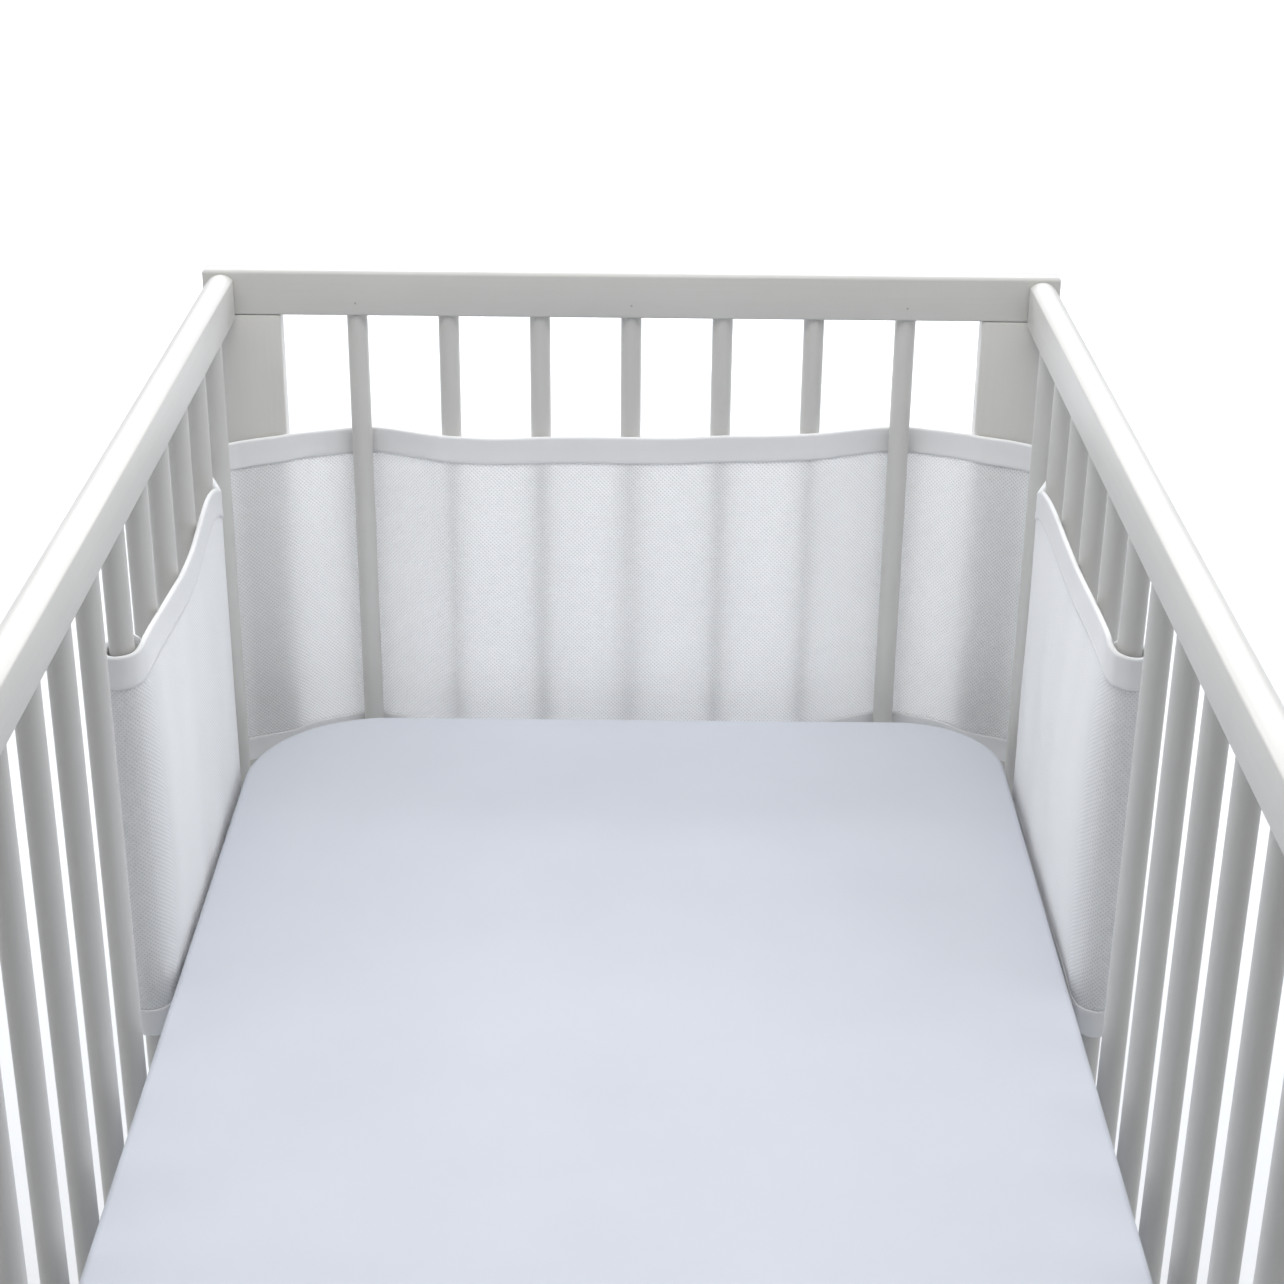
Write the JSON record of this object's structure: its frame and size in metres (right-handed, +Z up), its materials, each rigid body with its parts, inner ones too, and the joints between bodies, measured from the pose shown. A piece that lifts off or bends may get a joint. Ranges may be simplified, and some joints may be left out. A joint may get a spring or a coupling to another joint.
{
  "type": "mesh crib bumper on a slatted crib with its mattress",
  "caption": "Breathable mesh strip with bound edges, woven round the head slats of a plain white crib and closed round a slat on each side, to cover the gaps above the mattress.",
  "frame": {"origin": "on the floor, under the middle of the crib's bounding box", "axes": "+X to the crib's right seen from its foot, +Y towards the head end that the bumper is woven round, +Z up"},
  "size_m": [0.6614, 1.248, 0.84],
  "materials": {
    "paint": "smooth white semi-gloss paint",
    "mesh": "white spacer mesh, matt",
    "binding": "white plain-woven binding, matt",
    "sheet": "white cotton fitted sheet, matt"
  },
  "bodies": {
    "root": {"head_post_left": "paint", "head_post_right": "paint", "head_top_rail": "paint", "head_low_rail": "paint", "head_slat_1": "paint", "head_slat_2": "paint", "head_slat_3": "paint", "head_slat_4": "paint", "head_slat_5": "paint", "head_slat_6": "paint", "head_slat_7": "paint", "foot_post_left": "paint", "foot_post_right": "paint", "foot_panel": "paint", "left_top_rail": "paint", "left_low_rail": "paint", "left_slat_1": "paint", "left_slat_2": "paint", "left_slat_3": "paint", "left_slat_4": "paint", "left_slat_5": "paint", "left_slat_6": "paint", "left_slat_7": "paint", "left_slat_8": "paint", "left_slat_9": "paint", "left_slat_10": "paint", "left_slat_11": "paint", "left_slat_12": "paint", "left_slat_13": "paint", "left_slat_14": "paint", "left_slat_15": "paint", "left_slat_16": "paint", "right_top_rail": "paint", "right_low_rail": "paint", "right_slat_1": "paint", "right_slat_2": "paint", "right_slat_3": "paint", "right_slat_4": "paint", "right_slat_5": "paint", "right_slat_6": "paint", "right_slat_7": "paint", "right_slat_8": "paint", "right_slat_9": "paint", "right_slat_10": "paint", "right_slat_11": "paint", "right_slat_12": "paint", "right_slat_13": "paint", "right_slat_14": "paint", "right_slat_15": "paint", "right_slat_16": "paint", "mattress_base": "paint", "mattress": "sheet", "bumper_mesh": "mesh", "bumper_top_binding": "binding", "bumper_hem_binding": "binding"}
  },
  "joints": []
}
